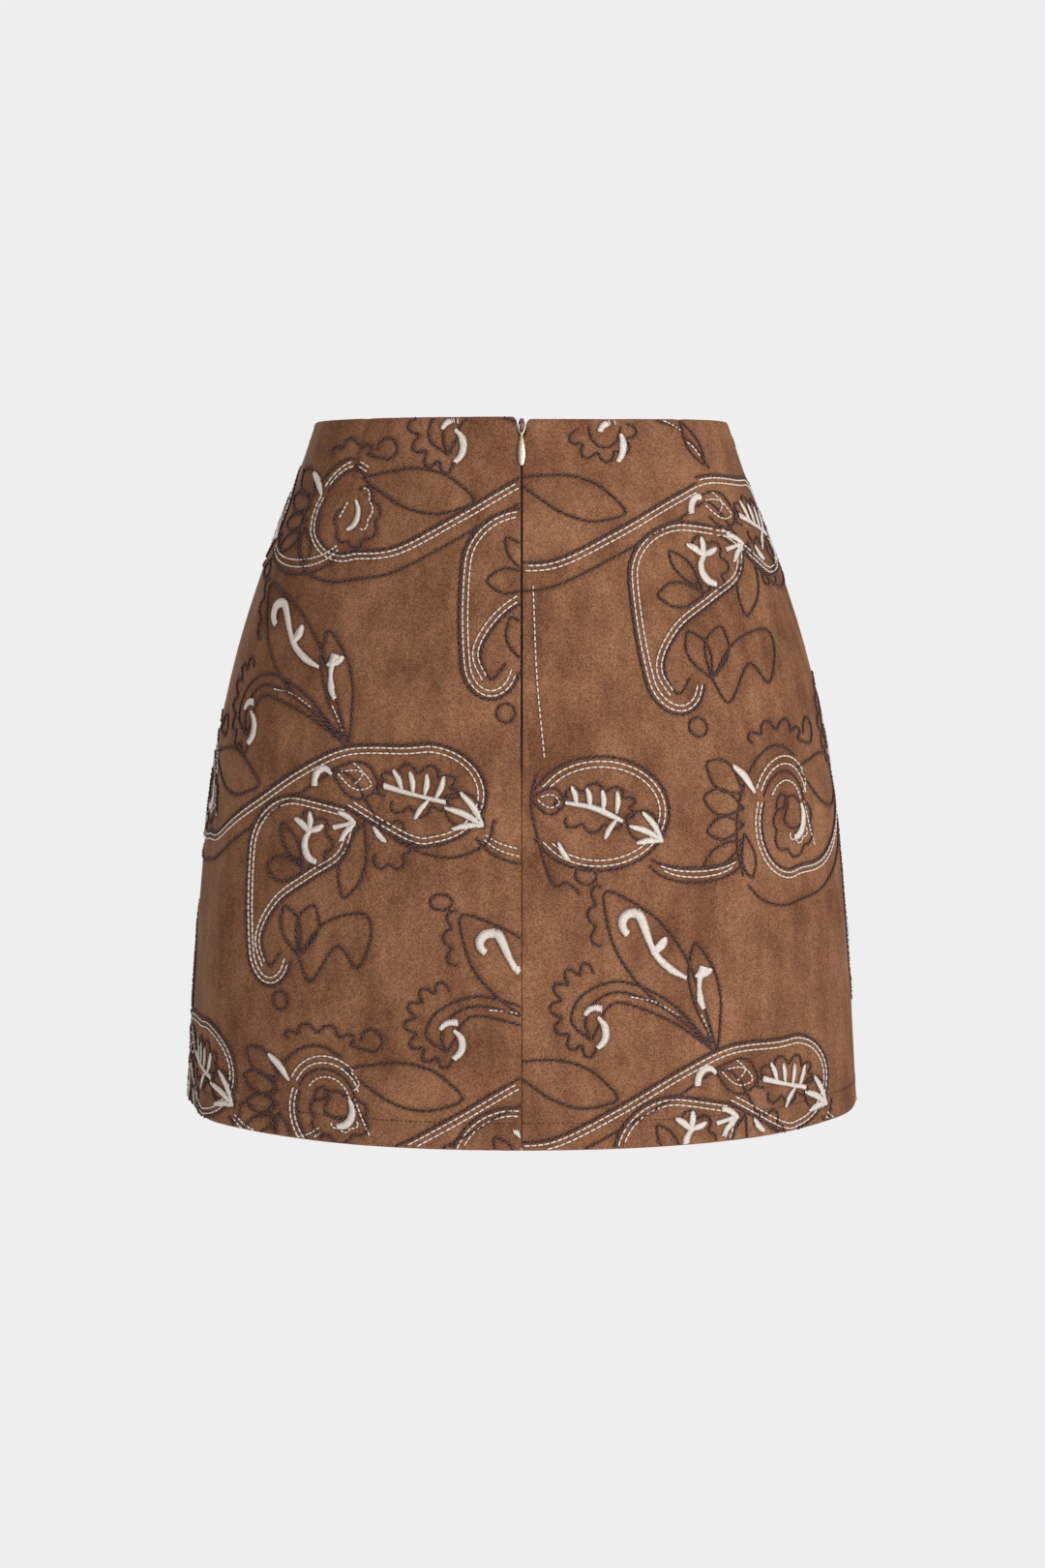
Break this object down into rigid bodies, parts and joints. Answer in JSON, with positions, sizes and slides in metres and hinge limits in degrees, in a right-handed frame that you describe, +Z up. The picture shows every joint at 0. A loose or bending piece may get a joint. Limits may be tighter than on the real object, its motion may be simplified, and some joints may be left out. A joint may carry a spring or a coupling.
{
  "type": "mini skirt",
  "caption": "A-line mini skirt in embroidered brown faux suede, hollow as when worn, with a concealed centre-back zip and a hinged pull tab.",
  "frame": {"origin": "centre of the waist opening, in the plane of the top edge, where the wearer's waist holds the skirt", "axes": "+Z up along the skirt's height; the back with its zip faces -Y and the front +Y; +X is the wearer's right side"},
  "size_m": [0.3855, 0.265, 0.3852],
  "materials": {
    "suede": "napped faux suede with a soft plain backing",
    "zip_tape": "woven polyester tape",
    "zip_coil": "dyed nylon coil",
    "zip_metal": "antique light brass, polished by handling",
    "cord_thread": "twisted purple-brown cord couched on the suede",
    "cream_thread": "rayon embroidery thread with a sheen",
    "sewing_thread": "matching polyester sewing thread"
  },
  "bodies": {
    "skirt": {"front_panel": "suede", "back_left_panel": "suede", "back_right_panel": "suede", "zip_tape_left": "zip_tape", "zip_tape_right": "zip_tape", "zip_chain": "zip_coil", "zip_slider": "zip_metal"},
    "pull_tab": {"zip_pull": "zip_metal"}
  },
  "joints": [
    {"name": "pull_swing", "type": "hinge", "parent": "skirt", "child": "pull_tab", "pos_m": [0, -0.08586, -0.00483], "axis": [-1, 0, 0], "range_deg": [0, 165]}
  ]
}
